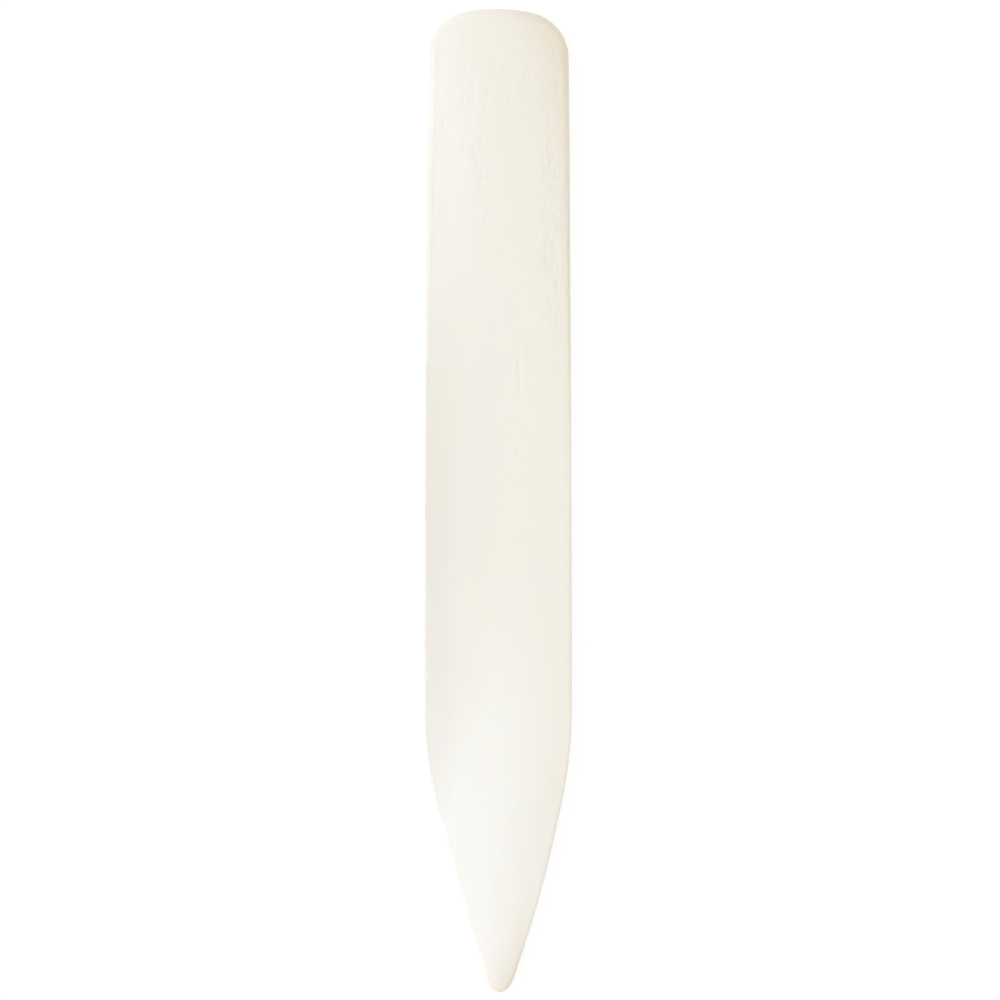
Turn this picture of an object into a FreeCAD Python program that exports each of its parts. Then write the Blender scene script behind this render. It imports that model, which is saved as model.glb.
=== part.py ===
import FreeCAD, Part

import math
import os

from FreeCAD import Vector

# Bone folder: one flat slip of bone, ground to its outline, thinned at both ends and polished.
# Millimetres. It lies on its flat underside, which is the plane z = 0. The length runs along Y,
# with the rounded head at +Y and the point at -Y. The plan outline is symmetric about x = 0.

# Overall size
LENGTH = 152.0
MAX_WIDTH = 22.7
THICKNESS = 3.2

# Plan outline: six arcs a side, each tangent to the next
HEAD_RADIUS = 32.0
HEAD_CORNER_RADIUS = 7.0
SIDE_BOW_RADIUS = 9600.0
SHOULDER_RADIUS = 66.0
FLANK_RADIUS = 430.0
TIP_RADIUS = 2.1
SHOULDER_FROM_TIP = 44.0

# Thinning towards the ends, as drops of the top face and lifts of the underside
HEAD_TOP_DROP = 0.75
HEAD_THINNED_LENGTH = 34.0
TIP_TOP_DROP = 1.05
TIP_THINNED_LENGTH = 50.0
HEAD_UNDERSIDE_LIFT = 0.25
HEAD_LIFTED_LENGTH = 16.0
TIP_UNDERSIDE_LIFT = 0.30
TIP_LIFTED_LENGTH = 26.0

# Crown of the top face across the width, as the radius of its arc, and how far in from each end
# the rounder crown fades into the nearly flat middle
MIDDLE_CROWN_RADIUS = 600.0
HEAD_CROWN_RADIUS = 120.0
HEAD_CROWNED_LENGTH = 52.0
TIP_CROWN_RADIUS = 60.0
TIP_CROWNED_LENGTH = 50.0

# Hand-rounded edges
TOP_EDGE_RADIUS = 0.6
UNDERSIDE_EDGE_RADIUS = 0.65

# Grid that the crowned top face is drawn through
STATIONS_ALONG = 33
STATIONS_ACROSS = 9
FACE_OVERHANG = 3.0

# A face whose normal rises or falls less than this stands upright
UPRIGHT_LIMIT = 0.01

HEAD_Y = LENGTH / 2
TIP_Y = -LENGTH / 2


def inner_tangent_centre(centre_a, radius_a, centre_b, radius_b, radius, towards):
    """Centre of the arc of the given radius that blends arc a into arc b.

    Arcs that bend the same way touch without a kink when their centres are as far apart as their
    radii differ. Two centres satisfy that, and the one nearer to `towards` is returned.
    """
    reach_a = abs(radius_a - radius)
    reach_b = abs(radius_b - radius)
    between = centre_b - centre_a
    gap = between.Length
    along = (reach_a**2 - reach_b**2 + gap**2) / (2 * gap)
    aside = math.sqrt(reach_a**2 - along**2)
    direction = between / gap
    square = Vector(-direction.y, direction.x, 0)
    foot = centre_a + direction * along
    return min((foot + square * aside, foot - square * aside), key=towards.distanceToPoint)


def touch_point(centre_a, radius_a, centre_b, radius_b):
    """Point where two arcs that bend the same way touch."""
    if radius_a >= radius_b:
        return centre_a + (centre_b - centre_a).normalize() * radius_a
    return centre_b + (centre_a - centre_b).normalize() * radius_b


def arc_between(start, end, centre, radius):
    """Arc from start to end about a centre."""
    middle = centre + ((start + end) / 2 - centre).normalize() * radius
    return Part.Arc(start, middle, end).toShape()


def outline():
    """Closed plan outline in the plane z = 0, from the head down the right side and back up."""
    half_width = MAX_WIDTH / 2
    widest_y = TIP_Y + SHOULDER_FROM_TIP
    head = Vector(0, HEAD_Y - HEAD_RADIUS, 0)
    side = Vector(half_width - SIDE_BOW_RADIUS, widest_y, 0)
    shoulder = Vector(half_width - SHOULDER_RADIUS, widest_y, 0)
    tip = Vector(0, TIP_Y + TIP_RADIUS, 0)
    corner = inner_tangent_centre(
        head, HEAD_RADIUS, side, SIDE_BOW_RADIUS, HEAD_CORNER_RADIUS, Vector(half_width, HEAD_Y, 0)
    )
    flank = inner_tangent_centre(
        shoulder, SHOULDER_RADIUS, tip, TIP_RADIUS, FLANK_RADIUS, Vector(-FLANK_RADIUS, 0, 0)
    )
    arcs = (
        (head, HEAD_RADIUS),
        (corner, HEAD_CORNER_RADIUS),
        (side, SIDE_BOW_RADIUS),
        (shoulder, SHOULDER_RADIUS),
        (flank, FLANK_RADIUS),
        (tip, TIP_RADIUS),
    )
    points = [touch_point(*before, *after) for before, after in zip(arcs, arcs[1:])]
    right = [arc_between(a, b, *arc) for a, b, arc in zip(points, points[1:], arcs[1:])]
    left = [edge.mirror(Vector(0, 0, 0), Vector(1, 0, 0)) for edge in right]
    head_edge = arc_between(mirrored(points[0]), points[0], head, HEAD_RADIUS)
    tip_edge = arc_between(points[-1], mirrored(points[-1]), tip, TIP_RADIUS)
    return Part.Wire(Part.sortEdges([head_edge, *right, tip_edge, *left])[0])


def mirrored(point):
    """The same point on the other side of the centreline."""
    return Vector(-point.x, point.y, point.z)


def eased(amount):
    """0 to 1 with no kink at either end, held at 0 and 1 outside."""
    amount = min(max(amount, 0.0), 1.0)
    return amount * amount * (3 - 2 * amount)


def thinned(distance_from_end, thinned_length):
    """How far the thinning has gone at a place: 0 in the full stretch and 1 at the very end.

    It leaves the full stretch without a kink and is steepest at the end.
    """
    inward = max(1 - distance_from_end / thinned_length, 0.0)
    return inward * inward


def ridge_height(y):
    """Height of the top face on the centreline."""
    head = HEAD_TOP_DROP * thinned(HEAD_Y - y, HEAD_THINNED_LENGTH)
    tip = TIP_TOP_DROP * thinned(y - TIP_Y, TIP_THINNED_LENGTH)
    return THICKNESS - head - tip


def crown_curvature(y):
    """Curvature of the top face across the width: slight in the middle, rounder at both ends."""
    middle = 1 / MIDDLE_CROWN_RADIUS
    head = eased(1 - (HEAD_Y - y) / HEAD_CROWNED_LENGTH)
    tip = eased(1 - (y - TIP_Y) / TIP_CROWNED_LENGTH)
    return (
        middle
        + head * (1 / HEAD_CROWN_RADIUS - middle)
        + tip * (1 / TIP_CROWN_RADIUS - middle)
    )


def evenly(low, high, count):
    """Evenly spaced values from low to high."""
    return [low + (high - low) * i / (count - 1) for i in range(count)]


def above_top_face():
    """Everything above the crowned top face, as a solid to cut away."""
    half_span = MAX_WIDTH / 2 + FACE_OVERHANG
    rows = []
    for y in evenly(TIP_Y - FACE_OVERHANG, HEAD_Y + FACE_OVERHANG, STATIONS_ALONG):
        height = ridge_height(y)
        curvature = crown_curvature(y)
        across = evenly(-half_span, half_span, STATIONS_ACROSS)
        rows.append([Vector(x, y, height - curvature * x * x / 2) for x in across])
    face = Part.BSplineSurface()
    face.interpolate(rows)
    return face.toShape().extrude(Vector(0, 0, 2 * THICKNESS))


def below_underside(end_y, lift, lifted_length):
    """What is ground away under one end, as a round-backed solid that leaves the flat smoothly."""
    towards_end = math.copysign(1, end_y)
    radius = (lifted_length**2 + lift**2) / (2 * lift)
    centre = Vector(-MAX_WIDTH, end_y - towards_end * lifted_length, radius)
    barrel = Part.makeCylinder(radius, 2 * MAX_WIDTH, centre, Vector(1, 0, 0))
    reach = lifted_length + FACE_OVERHANG
    start_y = min(centre.y, centre.y + towards_end * reach)
    corner = Vector(-MAX_WIDTH, start_y, -THICKNESS)
    block = Part.makeBox(2 * MAX_WIDTH, reach, 2 * THICKNESS, corner)
    return block.cut(barrel)


def edges_at(solid, side):
    """Edges between the upright side wall and the faces above (+1) or below (-1) it."""
    found = []
    for edge in solid.Edges:
        faces = solid.ancestorsOfType(edge, Part.Face)
        upright = [face for face in faces if is_upright(face)]
        others = [face for face in faces if not is_upright(face)]
        if len(upright) == 1 and len(others) == 1 and faces_towards(others[0], side):
            found.append(edge)
    return found


def normal_at_middle(face):
    """Outward normal at the middle of a face."""
    low_u, high_u, low_v, high_v = face.ParameterRange
    return face.normalAt((low_u + high_u) / 2, (low_v + high_v) / 2)


def is_upright(face):
    """Whether a face is part of the side wall."""
    return abs(normal_at_middle(face).z) < UPRIGHT_LIMIT


def faces_towards(face, side):
    """Whether a face looks up (side +1) or down (side -1)."""
    return normal_at_middle(face).z * side > 0


def folder_blade():
    """The whole tool, as one solid."""
    blade = Part.Face(outline()).extrude(Vector(0, 0, THICKNESS + TOP_EDGE_RADIUS))
    blade = blade.cut(above_top_face())
    blade = blade.cut(below_underside(HEAD_Y, HEAD_UNDERSIDE_LIFT, HEAD_LIFTED_LENGTH))
    blade = blade.cut(below_underside(TIP_Y, TIP_UNDERSIDE_LIFT, TIP_LIFTED_LENGTH)).Solids[0]
    blade = blade.makeFillet(TOP_EDGE_RADIUS, edges_at(blade, 1))
    blade = blade.makeFillet(UNDERSIDE_EDGE_RADIUS, edges_at(blade, -1))
    return blade.Solids[0]


os.makedirs("parts", exist_ok=True)
folder_blade().exportStep("parts/folder_blade.step")
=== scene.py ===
import math

import bpy
import numpy as np
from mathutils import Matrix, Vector
from mathutils.kdtree import KDTree


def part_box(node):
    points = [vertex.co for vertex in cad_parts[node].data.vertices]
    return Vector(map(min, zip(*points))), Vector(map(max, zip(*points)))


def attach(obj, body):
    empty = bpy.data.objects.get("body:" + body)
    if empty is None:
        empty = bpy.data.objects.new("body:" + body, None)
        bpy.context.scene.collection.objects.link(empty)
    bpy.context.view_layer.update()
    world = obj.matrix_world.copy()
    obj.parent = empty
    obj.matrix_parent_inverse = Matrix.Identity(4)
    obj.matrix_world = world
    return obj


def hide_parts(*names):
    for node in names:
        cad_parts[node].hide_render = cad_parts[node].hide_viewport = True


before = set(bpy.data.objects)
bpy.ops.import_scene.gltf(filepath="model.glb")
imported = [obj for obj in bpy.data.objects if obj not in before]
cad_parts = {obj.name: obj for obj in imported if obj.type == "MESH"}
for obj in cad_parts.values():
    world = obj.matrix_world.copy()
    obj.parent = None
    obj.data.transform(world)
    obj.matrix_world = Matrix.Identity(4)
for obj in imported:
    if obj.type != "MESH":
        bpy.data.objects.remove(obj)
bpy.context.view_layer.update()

# Bone folder on a pale table, in metres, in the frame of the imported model: the length runs along
# Y with the rounded head at +Y and the point at -Y, the underside lies at z = 0 and +Z is up.

MM = 0.001
NODE = "folder_blade"
LOW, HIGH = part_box(NODE)
HEAD_Y = HIGH.y
TIP_Y = LOW.y
HALF_WIDTH = HIGH.x
THICKNESS = HIGH.z

# Plan outline: six arcs a side, each tangent to the next, as in the CAD model
HEAD_RADIUS = 32.0 * MM
HEAD_CORNER_RADIUS = 7.0 * MM
SIDE_BOW_RADIUS = 9600.0 * MM
SHOULDER_RADIUS = 66.0 * MM
FLANK_RADIUS = 430.0 * MM
TIP_RADIUS = 2.1 * MM
SHOULDER_FROM_TIP = 44.0 * MM

# Thinning towards the ends and crown across the width, as in the CAD model
HEAD_TOP_DROP = 0.75 * MM
HEAD_THINNED_LENGTH = 34.0 * MM
TIP_TOP_DROP = 1.05 * MM
TIP_THINNED_LENGTH = 50.0 * MM
HEAD_UNDERSIDE_LIFT = 0.25 * MM
HEAD_LIFTED_LENGTH = 16.0 * MM
TIP_UNDERSIDE_LIFT = 0.30 * MM
TIP_LIFTED_LENGTH = 26.0 * MM
MIDDLE_CROWN_RADIUS = 600.0 * MM
HEAD_CROWN_RADIUS = 120.0 * MM
HEAD_CROWNED_LENGTH = 52.0 * MM
TIP_CROWN_RADIUS = 60.0 * MM
TIP_CROWNED_LENGTH = 50.0 * MM

# Hand-rounded edges: how far in from the outline and how far down the side each one reaches.
# The top edge is crisp along the middle and well rounded at the head: (middle, head, tip). The
# rounding at the head eases out over the last length.
TOP_EDGE_WIDTHS = (0.38 * MM, 1.20 * MM, 0.60 * MM)
TOP_EDGE_HEIGHTS = (0.42 * MM, 0.90 * MM, 0.60 * MM)
TOP_EDGE_HEAD_LENGTH = 74.0 * MM
UNDERSIDE_EDGE_WIDTH = 0.80 * MM
UNDERSIDE_EDGE_HEIGHT = 0.65 * MM

# Mesh density
CELLS_ACROSS = 140
CELLS_ALONG = 270
TOP_EDGE_RINGS = 8
WALL_RINGS = 2
UNDERSIDE_EDGE_RINGS = 5

# Turn of the outline's outward normal where the corners of the mesh's grids lie on it
TIP_CORNER_TURN = math.radians(-50)
HEAD_CORNER_TURN = math.radians(45)

SEED = 41

# Slow waves left in the top face by hand grinding: height, and size of a wave across and along
GRINDING_WAVES = (
    (0.020 * MM, 9.0 * MM, 26.0 * MM),
    (0.007 * MM, 3.5 * MM, 11.0 * MM),
)
# Shallow hollow along the middle. From its deepest line, at HOLLOW_START_X, it rises slowly to the
# right and quickly to the left, where a low border stands above the face. HOLLOW_HEIGHT is the
# border's height over that line, and HOLLOW_SUNK_SHARE is how much of it lies below the face. The
# hollow is whole within half of HOLLOW_HALF_LENGTH of its middle, and gone at one and a half
# times that.
HOLLOW_RIGHT_X = 9.0 * MM
HOLLOW_START_X = -6.0 * MM
HOLLOW_END_X = -11.5 * MM
HOLLOW_Y = -2.0 * MM
HOLLOW_HALF_LENGTH = 44.0 * MM
HOLLOW_HEIGHT = 0.26 * MM
HOLLOW_SUNK_SHARE = 0.65

# Open grain: groups of short grooves that run nearly along the blade. Each group has its middle
# across and along, half its spread across and along, and its number of grooves. The half spread
# is two standard deviations.
GRAIN_GROUPS = (
    (8.6 * MM, 50.0 * MM, 2.2 * MM, 17.0 * MM, 60),
    (9.0 * MM, 39.0 * MM, 1.8 * MM, 10.0 * MM, 26),
    (-3.2 * MM, 51.0 * MM, 3.4 * MM, 10.0 * MM, 22),
    (3.0 * MM, 66.0 * MM, 4.5 * MM, 5.5 * MM, 14),
    (-5.0 * MM, 62.0 * MM, 3.0 * MM, 6.0 * MM, 12),
    (2.4 * MM, 18.0 * MM, 2.2 * MM, 12.0 * MM, 16),
    (5.0 * MM, -6.0 * MM, 3.5 * MM, 16.0 * MM, 7),
    (-2.0 * MM, -30.0 * MM, 6.0 * MM, 24.0 * MM, 7),
)
UNDERSIDE_GRAIN_GROUPS = (
    (-2.0 * MM, 20.0 * MM, 8.0 * MM, 48.0 * MM, 60),
    (2.0 * MM, -40.0 * MM, 5.0 * MM, 26.0 * MM, 14),
)
GRAIN_LEAN = math.radians(7)
GROOVE_LEANS = (0.5 * GRAIN_LEAN, 2.0 * GRAIN_LEAN)
GROOVE_LENGTHS = (0.8 * MM, 2.8 * MM)
GROOVE_WIDTHS = (0.16 * MM, 0.30 * MM)
GROOVE_DEPTHS = (0.024 * MM, 0.100 * MM)

# Colour zones, each a soft ellipse: middle across and along, half size across and along, and
# amount. They hold the bone's own tone and also painted light, as each set says.
# Tan zones: partly the bone's own tan, partly painted shade on the right of the head, along the
# right edge, at the point and along the middle of the left edge
TAN_AND_SHADE_ZONES = (
    (11.5 * MM, 72.0 * MM, 5.5 * MM, 13.0 * MM, 0.46),
    (7.5 * MM, 74.5 * MM, 5.0 * MM, 4.0 * MM, 0.20),
    (11.3 * MM, 50.0 * MM, 3.6 * MM, 26.0 * MM, 0.22),
    (5.0 * MM, 76.5 * MM, 6.0 * MM, 2.5 * MM, 0.12),
    (-11.0 * MM, 0.0 * MM, 4.0 * MM, 26.0 * MM, 0.14),
    (11.3 * MM, 5.0 * MM, 1.0 * MM, 54.0 * MM, 0.20),
    (9.0 * MM, -48.0 * MM, 2.4 * MM, 16.0 * MM, 0.10),
    (4.0 * MM, -66.0 * MM, 1.6 * MM, 10.0 * MM, 0.08),
    (2.8 * MM, -69.5 * MM, 1.0 * MM, 4.5 * MM, 0.26),
    (1.4 * MM, -74.6 * MM, 2.0 * MM, 3.9 * MM, 0.38),
)
# Pale zones: partly paler bone, partly painted highlight on the left of the head and of the point,
# where the crowned faces turn towards the light
PALE_AND_HIGHLIGHT_ZONES = (
    (-11.5 * MM, 66.0 * MM, 6.0 * MM, 20.0 * MM, 0.76),
    (-7.0 * MM, 46.0 * MM, 4.5 * MM, 16.0 * MM, 0.22),
    (-10.0 * MM, 33.0 * MM, 4.0 * MM, 10.0 * MM, 0.18),
    (-0.6 * MM, -37.0 * MM, 8.0 * MM, 16.0 * MM, 0.50),
    (-7.8 * MM, -54.0 * MM, 3.0 * MM, 10.0 * MM, 0.34),
    (-4.5 * MM, -59.0 * MM, 7.0 * MM, 21.0 * MM, 0.90),
    (-3.6 * MM, -68.0 * MM, 2.4 * MM, 8.0 * MM, 0.34),
)
# Cool zones: cooler patches of bone across the middle, and a darker cool tint along the left of the
# middle that is painted shade
COOL_AND_SHADE_ZONES = (
    (-3.4 * MM, 6.0 * MM, 3.6 * MM, 20.0 * MM, 0.60),
    (-10.6 * MM, -6.0 * MM, 3.6 * MM, 27.0 * MM, 0.97),
    (-9.6 * MM, -35.0 * MM, 4.0 * MM, 10.0 * MM, 0.95),
    (7.0 * MM, 0.0 * MM, 2.5 * MM, 16.0 * MM, 0.22),
)
# Where the edge is darkened, greyish on the left and brown on the right and the ends: painted
# shade along the rounded edges, with some wear from handling
GREY_EDGE_SHADE_AND_WEAR_ZONES = (
    (-11.5 * MM, -4.0 * MM, 3.0 * MM, 46.0 * MM, 0.56),
    (-11.4 * MM, -37.0 * MM, 2.5 * MM, 9.0 * MM, 0.18),
    (-7.0 * MM, -56.0 * MM, 5.0 * MM, 18.0 * MM, 0.24),
    (-11.5 * MM, 60.0 * MM, 4.0 * MM, 26.0 * MM, 0.22),
    (-3.6 * MM, -67.0 * MM, 2.6 * MM, 8.0 * MM, 0.09),
)
BROWN_EDGE_SHADE_AND_WEAR_ZONES = (
    (11.5 * MM, 42.0 * MM, 3.0 * MM, 24.0 * MM, 0.10),
    (5.0 * MM, 76.0 * MM, 5.0 * MM, 2.0 * MM, 0.12),
    (1.2 * MM, -75.5 * MM, 2.0 * MM, 4.5 * MM, 0.29),
    (8.0 * MM, 0.0 * MM, 6.0 * MM, 80.0 * MM, 0.08),
)
# Distances from the outline over which the darkening fades out, in widths of the rounded edge
EDGE_SHADE_AND_WEAR_FADE = (0.5, 1.6)

# Bone colours. The pale, cool and tan ones also carry painted highlight and shade through the
# zones, and the grey and brown edge ones painted shade along the edges.
CREAM = (0.838, 0.815, 0.740, 1)
PALE = (0.884, 0.881, 0.857, 1)
COOL = (0.798, 0.786, 0.740, 1)
TAN = (0.740, 0.640, 0.470, 1)
FIBRE = (0.780, 0.750, 0.665, 1)
CANAL = (0.560, 0.470, 0.330, 1)
GREY_EDGE = (0.600, 0.594, 0.566, 1)
BROWN_EDGE = (0.660, 0.570, 0.410, 1)

# Noise in the bone: width and length of a mark in millimetres, detail and seed
CLOUDS = (7, 24, 3, 11)
PATCHES = (3, 8, 4, 23)
FIBRES = (0.5, 11, 3, 37)
THREADS = (0.18, 1.8, 2, 51)
CLUSTERS = (3, 8, 2, 67)
SCRATCHES = (0.09, 24, 1, 83)
EDGE_MOTTLE = (1.5, 5, 3, 97)
STREAKS = (0.30, 2.6, 2, 113)

# How far the clouds and patches sway the colour zones, and the share of that in two of the zones
CLOUD_SWAY = 1.1
PATCH_SWAY = 0.4
PALE_SWAY = 0.25
TAN_SWAY = 0.16

# Stretches of the noise over which each mark fades in, and over which the dark streaks fade out
FIBRE_NOISE = (0.35, 0.65)
CANAL_NOISE = (0.60, 0.74)
CANAL_CLUSTER_NOISE = (0.52, 0.85)
# The pale streaks are painted glints
PAINTED_GLINT_NOISE = (0.54, 0.70)
DARK_STREAK_NOISE = (0.30, 0.46)
EDGE_MOTTLE_NOISE = (0.3, 0.7)
ROUGH_NOISE = (0.3, 0.7)

# How strong each mark is at its strongest, what the open grain adds to the clusters of canals, and
# the range in which the noise varies the darkening of the edges
FIBRE_AMOUNT = 0.07
CANAL_AMOUNT = 0.16
PAINTED_GLINT_AMOUNT = 0.36
DARK_STREAK_AMOUNT = 0.08
GRAIN_CLUSTERING = 0.35
EDGE_MOTTLE_RANGE = (0.75, 1.25)

# Polish: roughness between the fibres and on them, and what a canal adds
ROUGHNESS = (0.34, 0.42)
CANAL_ROUGHNESS = 0.15

# Relief of the finest marks, in millimetres
FIBRE_HEIGHT = 0.004
SCRATCH_HEIGHT = 0.0010
CANAL_DEPTH = 0.012

# Hand grinding leaves the centreline a little to the right in places: where along the blade, over
# what length, and how far
BENDS = (
    (-61.0 * MM, 13.0 * MM, 0.45 * MM),
    (60.0 * MM, 16.0 * MM, 0.07 * MM),
)
# The head is ground slightly out of square: drop on the right for each unit across, and how far
# down from the end that reaches
HEAD_SKEW = 0.03
HEAD_SKEW_LENGTH = 14.0 * MM
# The very end of the point is ground a little narrower: by what share, and over what length
TIP_TAPER = 0.12
TIP_TAPER_LENGTH = 2.2 * MM

# Stage: sizes and places in metres. The key is a square soft box, on the left.
TABLE_SIZE = 3.0
TABLE_COLOUR = (0.20, 0.20, 0.20)
TABLE_GLOW = 0.82
SURROUND_STRENGTH = 0.873
KEY_PLACE = (-0.46, 0.0, 0.42)
KEY_SIDE = 0.50
KEY_WATTS = 1.4

# Camera: lens and sensor in millimetres, what the view spans each way, the height above the table
# at which it spans that, and the place on the blade under its middle
LENS = 150
SENSOR_WIDTH = 36
VIEW_SPAN = 154.63 * MM
VIEW_SPAN_Z = 1.2 * MM
VIEW_MIDDLE = (0.26 * MM, 0.10 * MM)


# ---------------------------------------------------------------------------------------------
# Plan outline
# ---------------------------------------------------------------------------------------------


def inner_tangent_centre(centre_a, radius_a, centre_b, radius_b, radius, towards):
    """Centre of the arc of the given radius that blends arc a into arc b, all bending one way."""
    reach_a = abs(radius_a - radius)
    reach_b = abs(radius_b - radius)
    between = centre_b - centre_a
    gap = np.hypot(*between)
    along = (reach_a**2 - reach_b**2 + gap**2) / (2 * gap)
    aside = math.sqrt(reach_a**2 - along**2)
    direction = between / gap
    square = np.array((-direction[1], direction[0]))
    foot = centre_a + direction * along
    choices = (foot + square * aside, foot - square * aside)
    return min(choices, key=lambda centre: np.hypot(*(centre - towards)))


def right_side_arcs():
    """The right side from head to tip, as (centre, radius, first turn, last turn) arcs.

    A turn is the angle of the outward normal, which falls from 90 degrees at the middle of the
    head to -90 degrees at the tip.
    """
    widest_y = TIP_Y + SHOULDER_FROM_TIP
    head = np.array((0, HEAD_Y - HEAD_RADIUS))
    side = np.array((HALF_WIDTH - SIDE_BOW_RADIUS, widest_y))
    shoulder = np.array((HALF_WIDTH - SHOULDER_RADIUS, widest_y))
    tip = np.array((0, TIP_Y + TIP_RADIUS))
    corner = inner_tangent_centre(
        head, HEAD_RADIUS, side, SIDE_BOW_RADIUS, HEAD_CORNER_RADIUS, np.array((HALF_WIDTH, HEAD_Y))
    )
    flank = inner_tangent_centre(
        shoulder, SHOULDER_RADIUS, tip, TIP_RADIUS, FLANK_RADIUS, np.array((-FLANK_RADIUS, 0))
    )
    circles = (
        (head, HEAD_RADIUS),
        (corner, HEAD_CORNER_RADIUS),
        (side, SIDE_BOW_RADIUS),
        (shoulder, SHOULDER_RADIUS),
        (flank, FLANK_RADIUS),
        (tip, TIP_RADIUS),
    )
    turns = [math.pi / 2]
    for (centre_a, radius_a), (centre_b, radius_b) in zip(circles, circles[1:]):
        apart = (centre_b - centre_a) * (1 if radius_a > radius_b else -1)
        turns.append(math.atan2(apart[1], apart[0]))
    turns.append(-math.pi / 2)
    return [(*circle, a, b) for circle, a, b in zip(circles, turns, turns[1:])]


def walk(arcs, first_turn, last_turn, count):
    """Evenly spaced points and outward normals along the right side between two turns."""
    clipped = [
        (centre, radius, min(start, first_turn), max(end, last_turn))
        for centre, radius, start, end in arcs
        if start > last_turn and end < first_turn
    ]
    reached = np.cumsum([0] + [radius * (start - end) for _, radius, start, end in clipped])
    points, normals = [], []
    for distance in np.linspace(0, reached[-1], count):
        i = min(np.searchsorted(reached, distance, side="right"), len(clipped)) - 1
        centre, radius, start, _ = clipped[i]
        turn = start - (distance - reached[i]) / radius
        normal = np.array((math.cos(turn), math.sin(turn)))
        points.append(centre + normal * radius)
        normals.append(normal)
    return np.array(points), np.array(normals)


def mirrored(points):
    """The same points or normals on the left side, in the opposite order."""
    return points[::-1] * (-1, 1)


def outline_loop():
    """Points and outward normals once round the outline, clockwise from the left head corner.

    The loop is the border of a grid: across the head, down the right side, across the tip and up
    the left side.
    """
    arcs = right_side_arcs()
    head_half = CELLS_ACROSS // 2 + 1
    head, head_n = walk(arcs, math.pi / 2, HEAD_CORNER_TURN, head_half)
    side, side_n = walk(arcs, HEAD_CORNER_TURN, TIP_CORNER_TURN, CELLS_ALONG + 1)
    tip, tip_n = walk(arcs, TIP_CORNER_TURN, -math.pi / 2, head_half)

    def joined(head_part, side_part, tip_part):
        right = np.concatenate((head_part, side_part[1:], tip_part[1:]))
        left = mirrored(right)
        whole = np.concatenate((right, left[1:-1]))
        return np.roll(whole, CELLS_ACROSS // 2, axis=0)

    return joined(head, side, tip), joined(head_n, side_n, tip_n)


# ---------------------------------------------------------------------------------------------
# Height of the two faces
# ---------------------------------------------------------------------------------------------


def eased(amount):
    """0 to 1 with no kink at either end, held at 0 and 1 outside."""
    amount = np.clip(amount, 0, 1)
    return amount * amount * (3 - 2 * amount)


def thinned(distance_from_end, thinned_length):
    """How far the thinning has gone: 0 in the full stretch and 1 at the very end."""
    return np.clip(1 - distance_from_end / thinned_length, 0, None) ** 2


def along_blade(y, middle, head, tip, head_length=HEAD_CROWNED_LENGTH):
    """A measure that is `middle` in the long middle and eases to other values at both ends."""
    towards_head = eased(1 - (HEAD_Y - y) / head_length)
    towards_tip = eased(1 - (y - TIP_Y) / TIP_CROWNED_LENGTH)
    return middle + towards_head * (head - middle) + towards_tip * (tip - middle)


def top_height(x, y):
    """The crowned top face, before its edges are rounded."""
    ridge = (
        THICKNESS
        - HEAD_TOP_DROP * thinned(HEAD_Y - y, HEAD_THINNED_LENGTH)
        - TIP_TOP_DROP * thinned(y - TIP_Y, TIP_THINNED_LENGTH)
    )
    curvature = along_blade(y, 1 / MIDDLE_CROWN_RADIUS, 1 / HEAD_CROWN_RADIUS, 1 / TIP_CROWN_RADIUS)
    return ridge - curvature * x * x / 2


def underside_height(y):
    """The underside: flat, and lifted a little towards both ends."""
    return HEAD_UNDERSIDE_LIFT * thinned(
        HEAD_Y - y, HEAD_LIFTED_LENGTH
    ) + TIP_UNDERSIDE_LIFT * thinned(y - TIP_Y, TIP_LIFTED_LENGTH)


# ---------------------------------------------------------------------------------------------
# Relief and colour zones
# ---------------------------------------------------------------------------------------------


def waves(x, y, cell_x, cell_y, random):
    """Smooth random heights of about -1 to 1, with one crest or dip a cell.

    The lattice runs past the blade on every side, because a place reads the four points around it
    each way.
    """
    count = (int(2 * HALF_WIDTH / cell_x) + 5, int((HEAD_Y - TIP_Y) / cell_y) + 5)
    lattice = random.uniform(-1, 1, count)
    across = (x + HALF_WIDTH) / cell_x + 1
    along = (y - TIP_Y) / cell_y + 1
    i, j = np.floor(across).astype(int), np.floor(along).astype(int)

    def weights(part):
        """Cubic B-spline weights of the four lattice points around a place."""
        return (
            (1 - part) ** 3 / 6,
            (3 * part**3 - 6 * part**2 + 4) / 6,
            (-3 * part**3 + 3 * part**2 + 3 * part + 1) / 6,
            part**3 / 6,
        )

    height = 0
    for a, weight_x in enumerate(weights(across - i)):
        for b, weight_y in enumerate(weights(along - j)):
            height = height + weight_x * weight_y * lattice[i + a - 1, j + b - 1]
    # The spline's crests reach about half the lattice's heights
    return 2 * height


def grooves(x, y, groups, random):
    """Depth of the open grain, from short grooves scattered over each group's area."""
    depth = np.zeros_like(x)
    for middle_x, middle_y, half_x, half_y, count in groups:
        for _ in range(count):
            at_x = middle_x + random.normal() * half_x / 2
            at_y = middle_y + random.normal() * half_y / 2
            lean = random.uniform(*GROOVE_LEANS)
            half_length = random.uniform(*GROOVE_LENGTHS) / 2
            half_width = random.uniform(*GROOVE_WIDTHS)
            deep = random.uniform(*GROOVE_DEPTHS)
            along = (y - at_y) * math.cos(lean) + (x - at_x) * math.sin(lean)
            aside = (x - at_x) * math.cos(lean) - (y - at_y) * math.sin(lean)
            ends = np.clip(1 - (along / half_length) ** 2, 0, None)
            depth = np.maximum(depth, deep * ends * np.exp(-((aside / half_width) ** 2)))
    return depth


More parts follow.
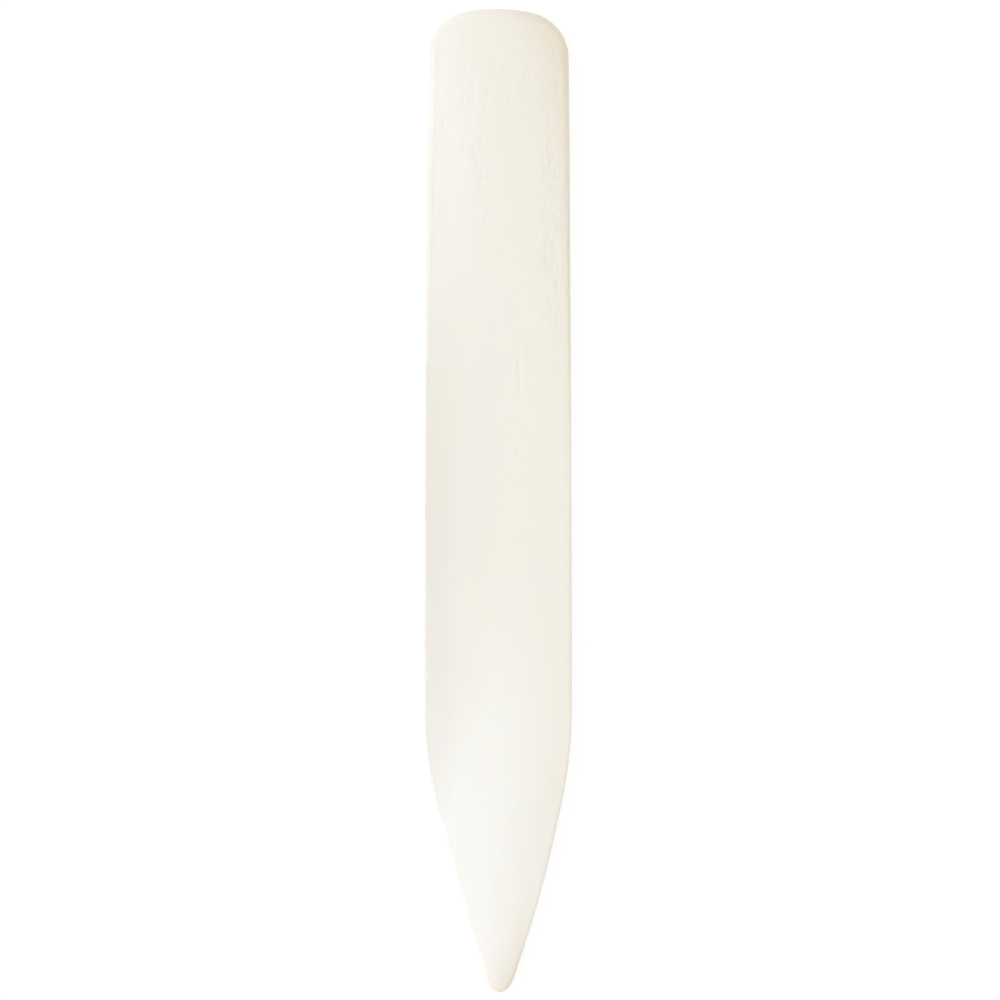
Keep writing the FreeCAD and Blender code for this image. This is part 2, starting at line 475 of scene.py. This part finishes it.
def top_relief(x, y):
    """Height that hand work and open grain add to the top face."""
    random = np.random.default_rng(SEED)
    height = sum(high * waves(x, y, *cell, random) for high, *cell in GRINDING_WAVES)
    towards_edge = eased((HOLLOW_START_X - x) / (HOLLOW_START_X - HOLLOW_END_X))
    towards_right = eased((x - HOLLOW_START_X) / (HOLLOW_RIGHT_X - HOLLOW_START_X))
    stretch = eased(1.5 - np.abs(y - HOLLOW_Y) / HOLLOW_HALF_LENGTH)
    rise = towards_edge - HOLLOW_SUNK_SHARE * (1 - towards_right)
    height = height + HOLLOW_HEIGHT * rise * stretch
    return height - grooves(x, y, GRAIN_GROUPS, random)


def underside_relief(x, y):
    """Height of the underside's relief, which only ever goes up from the table."""
    random = np.random.default_rng(SEED + 1)
    return grooves(x, y, UNDERSIDE_GRAIN_GROUPS, random)


def grain(x, y):
    """How dense the open grain is at a place, from 0 to 1, from grooves a square millimetre."""
    total = np.zeros_like(x)
    for middle_x, middle_y, half_x, half_y, count in GRAIN_GROUPS:
        near = ((x - middle_x) / half_x) ** 2 + ((y - middle_y) / half_y) ** 2
        total += count / (half_x * half_y) * np.exp(-near)
    return np.clip(total * MM**2, 0, 1)


def zones(x, y, ellipses):
    """How strongly a set of soft colour zones shows at a place."""
    total = np.zeros_like(x)
    for middle_x, middle_y, half_x, half_y, amount in ellipses:
        near = ((x - middle_x) / half_x) ** 2 + ((y - middle_y) / half_y) ** 2
        total += amount * np.exp(-near)
    return total


def hand_ground(vertices):
    """The vertices moved slightly out of true, as hand grinding leaves the outline."""
    x, y, z = vertices.T
    aside = sum(reach * np.exp(-(((y - middle) / length) ** 2)) for middle, length, reach in BENDS)
    drop = HEAD_SKEW * np.clip(x, 0, None) * eased(1 - (HEAD_Y - y) / HEAD_SKEW_LENGTH)
    narrower = 1 - TIP_TAPER * eased(1 - (y - TIP_Y) / TIP_TAPER_LENGTH)
    return np.column_stack((x * narrower + aside, y - drop, z))


def from_outline(x, y, points):
    """Distance in plan from each place to the outline, in widths of the rounded edge there."""
    tree = KDTree(len(points))
    for i, point in enumerate(points):
        tree.insert((*point, 0), i)
    tree.balance()
    distance = np.array([tree.find((*place, 0))[2] for place in zip(x, y)])
    return distance / along_blade(y, *TOP_EDGE_WIDTHS, TOP_EDGE_HEAD_LENGTH)


# ---------------------------------------------------------------------------------------------
# Mesh of the blade
# ---------------------------------------------------------------------------------------------


def filled_grid(border):
    """Points of a grid spanned between the four sides of a closed border, as (along, across)."""
    across, along = CELLS_ACROSS, CELLS_ALONG
    head = border[: across + 1]
    right = border[across : across + along + 1]
    tip = border[across + along : 2 * across + along + 1][::-1]
    left = np.concatenate((border[2 * across + along :], border[:1]))[::-1]
    u = np.linspace(0, 1, across + 1)[None, :, None]
    v = np.linspace(0, 1, along + 1)[:, None, None]
    ends = (1 - v) * head[None] + v * tip[None]
    sides = (1 - u) * left[:, None] + u * right[:, None]
    corners = (1 - v) * ((1 - u) * head[0] + u * head[-1]) + v * ((1 - u) * tip[0] + u * tip[-1])
    return ends + sides - corners


def grid_numbers(first):
    """Vertex numbers of a grid whose first vertex is `first`, as (along, across)."""
    shape = (CELLS_ALONG + 1, CELLS_ACROSS + 1)
    return first + np.arange(shape[0] * shape[1]).reshape(shape)


def border_numbers(numbers):
    """Vertex numbers round the border of a grid, in the outline's order."""
    return np.concatenate(
        (numbers[0, :-1], numbers[:-1, -1], numbers[-1, :0:-1], numbers[:0:-1, 0])
    )


def grid_quads(numbers, facing_up):
    """Quads of a grid, wound so that they face up or down."""
    head_left = numbers[:-1, :-1].ravel()
    head_right = numbers[:-1, 1:].ravel()
    tip_right = numbers[1:, 1:].ravel()
    tip_left = numbers[1:, :-1].ravel()
    if facing_up:
        return np.stack((head_left, tip_left, tip_right, head_right), axis=1)
    return np.stack((head_left, head_right, tip_right, tip_left), axis=1)


def ring_quads(upper, lower):
    """Quads between two rings of the rim."""
    return np.stack((upper, np.roll(upper, -1), np.roll(lower, -1), lower), axis=1)


def blade_vertices(points, normals):
    """Every vertex of the blade: the top's grid, the underside's grid, then the rim's rings.

    The rings run from the top edge down the side wall to the underside.
    """
    edge_width = along_blade(points[:, 1:], *TOP_EDGE_WIDTHS, TOP_EDGE_HEAD_LENGTH)
    edge_height = along_blade(points[:, 1], *TOP_EDGE_HEIGHTS, TOP_EDGE_HEAD_LENGTH)

    def inset(depth):
        return points - normals * depth

    top = filled_grid(inset(edge_width)).reshape(-1, 2)
    top_z = top_height(*top.T) + top_relief(*top.T)
    underside = filled_grid(inset(UNDERSIDE_EDGE_WIDTH)).reshape(-1, 2)
    underside_z = underside_height(underside[:, 1]) + underside_relief(*underside.T)
    places = [np.column_stack((top, top_z)), np.column_stack((underside, underside_z))]

    for angle in np.linspace(0, math.pi / 2, TOP_EDGE_RINGS + 1)[1:]:
        ring = inset(edge_width * (1 - math.sin(angle)))
        face = top_height(*ring.T) + top_relief(*ring.T)
        upper_z = face - edge_height * (1 - math.cos(angle))
        places.append(np.column_stack((ring, upper_z)))
    # The wall runs straight down from the last ring of the top edge's rounding
    lower_z = underside_height(points[:, 1]) + UNDERSIDE_EDGE_HEIGHT
    for part in np.linspace(0, 1, WALL_RINGS + 1)[1:]:
        places.append(np.column_stack((points, upper_z + (lower_z - upper_z) * part)))
    for angle in np.linspace(math.pi / 2, 0, UNDERSIDE_EDGE_RINGS + 1)[1:-1]:
        ring = inset(UNDERSIDE_EDGE_WIDTH * (1 - math.sin(angle)))
        height = UNDERSIDE_EDGE_HEIGHT * (1 - math.cos(angle))
        places.append(np.column_stack((ring, underside_height(ring[:, 1]) + height)))
    return np.concatenate(places)


def blade_quads(ring_length):
    """Every face of the blade, as quads between the vertices in the order they are made."""
    top_numbers = grid_numbers(0)
    underside_numbers = grid_numbers(top_numbers.size)
    first = 2 * top_numbers.size
    # The rim starts and ends at the borders of the two grids, so its last ring isn't its own
    ring_count = TOP_EDGE_RINGS + WALL_RINGS + UNDERSIDE_EDGE_RINGS - 1
    loops = [border_numbers(top_numbers)]
    loops += [first + i * ring_length + np.arange(ring_length) for i in range(ring_count)]
    loops.append(border_numbers(underside_numbers))
    quads = [grid_quads(top_numbers, True), grid_quads(underside_numbers, False)]
    quads += [ring_quads(upper, lower) for upper, lower in zip(loops, loops[1:])]
    return np.concatenate(quads)


def blade_mesh():
    """The whole blade as one closed mesh: two faces and the rounded rim between them."""
    points, normals = outline_loop()
    vertices = blade_vertices(points, normals)
    mesh = bpy.data.meshes.new("bone_blade")
    mesh.from_pydata(hand_ground(vertices), [], blade_quads(len(points)))
    mesh.shade_smooth()
    mesh.validate()
    x, y = vertices[:, :2].T
    store(mesh, "tan_and_shade", zones(x, y, TAN_AND_SHADE_ZONES))
    store(mesh, "pale_and_highlight", zones(x, y, PALE_AND_HIGHLIGHT_ZONES))
    store(mesh, "cool_and_shade", zones(x, y, COOL_AND_SHADE_ZONES))
    store(mesh, "grain", grain(x, y))
    store(mesh, "edge", from_outline(x, y, points))
    store(mesh, "grey_edge_shade_and_wear", zones(x, y, GREY_EDGE_SHADE_AND_WEAR_ZONES))
    store(mesh, "brown_edge_shade_and_wear", zones(x, y, BROWN_EDGE_SHADE_AND_WEAR_ZONES))
    return mesh


def store(mesh, name, values):
    """Keeps one number a vertex for the material to read."""
    attribute = mesh.attributes.new(name, "FLOAT", "POINT")
    attribute.data.foreach_set("value", values.astype(np.float32))


# ---------------------------------------------------------------------------------------------
# Bone material
# ---------------------------------------------------------------------------------------------


class Shading:
    """A material's node tree, with short ways to add nodes and join them."""

    def __init__(self, name):
        self.material = bpy.data.materials.new(name)
        self.material.use_nodes = True
        self.tree = self.material.node_tree
        self.shader = self.tree.nodes["Principled BSDF"]

    def set(self, socket, value):
        """Sets a socket to a number or colour, or joins it to another node's output."""
        if isinstance(value, bpy.types.NodeSocket):
            self.tree.links.new(value, socket)
        else:
            socket.default_value = value

    def add(self, kind, settings=None, **inputs):
        """Adds a node, with its settings and its inputs by name, and returns it."""
        node = self.tree.nodes.new("ShaderNode" + kind)
        for name, value in (settings or {}).items():
            setattr(node, name, value)
        for name, value in inputs.items():
            self.set(node.inputs[name.replace("_", " ")], value)
        return node

    def maths(self, operation, a, b=0.0, clamp=False):
        """The result of one sum on two numbers."""
        node = self.add("Math", {"operation": operation, "use_clamp": clamp})
        self.set(node.inputs[0], a)
        self.set(node.inputs[1], b)
        return node.outputs[0]

    def noise(self, place, width, length, detail, seed):
        """Noise of 0 to 1 whose marks have about this width, and this length along the blade."""
        scale = (1 / width, 1 / length, 1 / width)
        shifted = self.add("Mapping", Vector=place, Location=(seed, seed, seed), Scale=scale)
        texture = self.add("TexNoise", Vector=shifted.outputs[0], Scale=1.0, Detail=detail)
        return texture.outputs[0]

    def between(self, value, low, high, new_low=0.0, new_high=1.0):
        """A number carried from one range to another, held at its ends and eased."""
        node = self.add(
            "MapRange",
            {"interpolation_type": "SMOOTHSTEP"},
            Value=value,
            From_Min=low,
            From_Max=high,
            To_Min=new_low,
            To_Max=new_high,
        )
        return node.outputs[0]

    def mix(self, amount, a, b):
        """A colour between a and b. Inputs 6 and 7 and output 2 are the Mix node's colours."""
        node = self.add("Mix", {"data_type": "RGBA"})
        self.set(node.inputs[0], amount)
        self.set(node.inputs[6], a)
        self.set(node.inputs[7], b)
        return node.outputs[2]


def bone_material():
    """Polished bone: cloudy cream and paler zones, lengthwise fibres, fine dark canals."""
    bone = Shading("polished_bone")
    in_mm = (1 / MM, 1 / MM, 1 / MM)
    lean = (0, 0, GRAIN_LEAN)
    place = bone.add("TexCoord").outputs["Object"]
    place = bone.add("Mapping", Vector=place, Rotation=lean, Scale=in_mm).outputs[0]

    def stored(name):
        return bone.add("Attribute", {"attribute_name": name}).outputs["Fac"]

    def times(a, b):
        return bone.maths("MULTIPLY", a, b)

    clouds = bone.noise(place, *CLOUDS)
    patches = bone.noise(place, *PATCHES)
    fibres = bone.noise(place, *FIBRES)
    threads = bone.noise(place, *THREADS)
    clusters = bone.noise(place, *CLUSTERS)
    scratches = bone.noise(place, *SCRATCHES)
    edge_mottle = bone.noise(place, *EDGE_MOTTLE)
    streaks = bone.noise(place, *STREAKS)

    # Cream, with the cool, pale and tan zones swayed by the clouds and patches. The pale zones add
    # painted highlight and the tan and cool zones painted shade, as well as the bone's own tone.
    sway = times(bone.maths("SUBTRACT", clouds, 0.5), CLOUD_SWAY)
    sway = bone.maths("ADD", sway, times(bone.maths("SUBTRACT", patches, 0.5), PATCH_SWAY))
    cool_and_shade = bone.maths("SUBTRACT", stored("cool_and_shade"), sway, clamp=True)
    pale_and_highlight = bone.maths("SUBTRACT", stored("pale_and_highlight"), times(sway, PALE_SWAY), clamp=True)
    tan_and_shade = bone.maths("ADD", stored("tan_and_shade"), times(sway, TAN_SWAY), clamp=True)
    colour = bone.mix(cool_and_shade, CREAM, COOL)
    colour = bone.mix(pale_and_highlight, colour, PALE)
    colour = bone.mix(tan_and_shade, colour, TAN)

    # Fibres everywhere, canals in clusters and in the open grain, and streaks in the open grain.
    # The pale streaks are painted glints, as of light off the walls of the grooves.
    fibre = bone.between(fibres, *FIBRE_NOISE, 0.0, FIBRE_AMOUNT)
    colour = bone.mix(fibre, colour, FIBRE)
    clustered = bone.maths("ADD", clusters, times(stored("grain"), GRAIN_CLUSTERING))
    clustered = bone.between(clustered, *CANAL_CLUSTER_NOISE)
    canal = times(bone.between(threads, *CANAL_NOISE), clustered)
    colour = bone.mix(times(canal, CANAL_AMOUNT), colour, CANAL)
    painted_glint = times(bone.between(streaks, *PAINTED_GLINT_NOISE), stored("grain"))
    colour = bone.mix(times(painted_glint, PAINTED_GLINT_AMOUNT), colour, PALE)
    dark_streak = times(bone.between(streaks, *DARK_STREAK_NOISE, 1.0, 0.0), stored("grain"))
    colour = bone.mix(times(dark_streak, DARK_STREAK_AMOUNT), colour, CANAL)

    # Edges darkened: painted shade along the rounded edges, with some wear from handling
    near_edge = bone.between(stored("edge"), *EDGE_SHADE_AND_WEAR_FADE, 1.0, 0.0)
    edge_shade_and_wear = times(near_edge, bone.between(edge_mottle, *EDGE_MOTTLE_NOISE, *EDGE_MOTTLE_RANGE))
    colour = bone.mix(times(stored("grey_edge_shade_and_wear"), edge_shade_and_wear), colour, GREY_EDGE)
    colour = bone.mix(times(stored("brown_edge_shade_and_wear"), edge_shade_and_wear), colour, BROWN_EDGE)
    bone.set(bone.shader.inputs["Base Color"], colour)

    rough = bone.between(fibres, *ROUGH_NOISE, *ROUGHNESS)
    rough = bone.maths("ADD", rough, times(canal, CANAL_ROUGHNESS))
    bone.set(bone.shader.inputs["Roughness"], rough)

    height = times(fibres, FIBRE_HEIGHT)
    height = bone.maths("ADD", height, times(scratches, SCRATCH_HEIGHT))
    height = bone.maths("SUBTRACT", height, times(canal, CANAL_DEPTH))
    bump = bone.add("Bump", Strength=1.0, Distance=MM, Height=height)
    bone.set(bone.shader.inputs["Normal"], bump.outputs[0])

    bone.set(bone.shader.inputs["IOR"], 1.55)
    bone.set(bone.shader.inputs["Subsurface Weight"], 0.35)
    bone.set(bone.shader.inputs["Subsurface Radius"], (1.0, 0.6, 0.35))
    bone.set(bone.shader.inputs["Subsurface Scale"], 1.2 * MM)
    bone.set(bone.shader.inputs["Coat Weight"], 0.15)
    bone.set(bone.shader.inputs["Coat Roughness"], 0.22)
    return bone.material


# ---------------------------------------------------------------------------------------------
# Table, light and camera
# ---------------------------------------------------------------------------------------------


def table():
    """A plain white table top, wide enough for a low side view."""
    mesh = bpy.data.meshes.new("table")
    reach = TABLE_SIZE / 2
    corners = [(-reach, -reach, 0), (reach, -reach, 0), (reach, reach, 0), (-reach, reach, 0)]
    mesh.from_pydata(corners, [], [(0, 1, 2, 3)])
    piece = bpy.data.objects.new("table", mesh)
    bpy.context.scene.collection.objects.link(piece)
    material = bpy.data.materials.new("table_white")
    material.use_nodes = True
    shader = material.node_tree.nodes["Principled BSDF"]
    shader.inputs["Base Color"].default_value = (*TABLE_COLOUR, 1)
    shader.inputs["Roughness"].default_value = 0.9
    shader.inputs["Specular IOR Level"].default_value = 0.2
    shader.inputs["Emission Color"].default_value = (1, 1, 1, 1)
    shader.inputs["Emission Strength"].default_value = TABLE_GLOW
    mesh.materials.append(material)


def soft_light(name, place, side, watts):
    """A square soft box that faces the middle of the blade."""
    data = bpy.data.lights.new(name, "AREA")
    data.size = side
    data.energy = watts
    piece = bpy.data.objects.new(name, data)
    piece.location = place
    towards = Vector((0, 0, 0)) - Vector(place)
    piece.rotation_euler = towards.to_track_quat("-Z", "Y").to_euler()
    bpy.context.scene.collection.objects.link(piece)


def studio():
    """A white surround and a large soft box on the left."""
    world = bpy.data.worlds.new("studio")
    bpy.context.scene.world = world
    world.use_nodes = True
    background = world.node_tree.nodes["Background"]
    background.inputs["Color"].default_value = (1, 1, 1, 1)
    background.inputs["Strength"].default_value = SURROUND_STRENGTH
    soft_light("key_left", KEY_PLACE, KEY_SIDE, KEY_WATTS)


def camera():
    """A long lens straight above the blade, with the head at the top of the view."""
    data = bpy.data.cameras.new("camera")
    data.lens = LENS
    data.sensor_width = SENSOR_WIDTH
    piece = bpy.data.objects.new("camera", data)
    distance = VIEW_SPAN * LENS / SENSOR_WIDTH
    piece.location = (*VIEW_MIDDLE, VIEW_SPAN_Z + distance)
    bpy.context.scene.collection.objects.link(piece)
    bpy.context.scene.camera = piece
    bpy.context.scene.view_settings.view_transform = "Standard"


blade = bpy.data.objects.new("bone_blade", blade_mesh())
blade.data.materials.append(bone_material())
bpy.context.scene.collection.objects.link(blade)
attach(blade, "root")
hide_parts(NODE)
table()
studio()
camera()
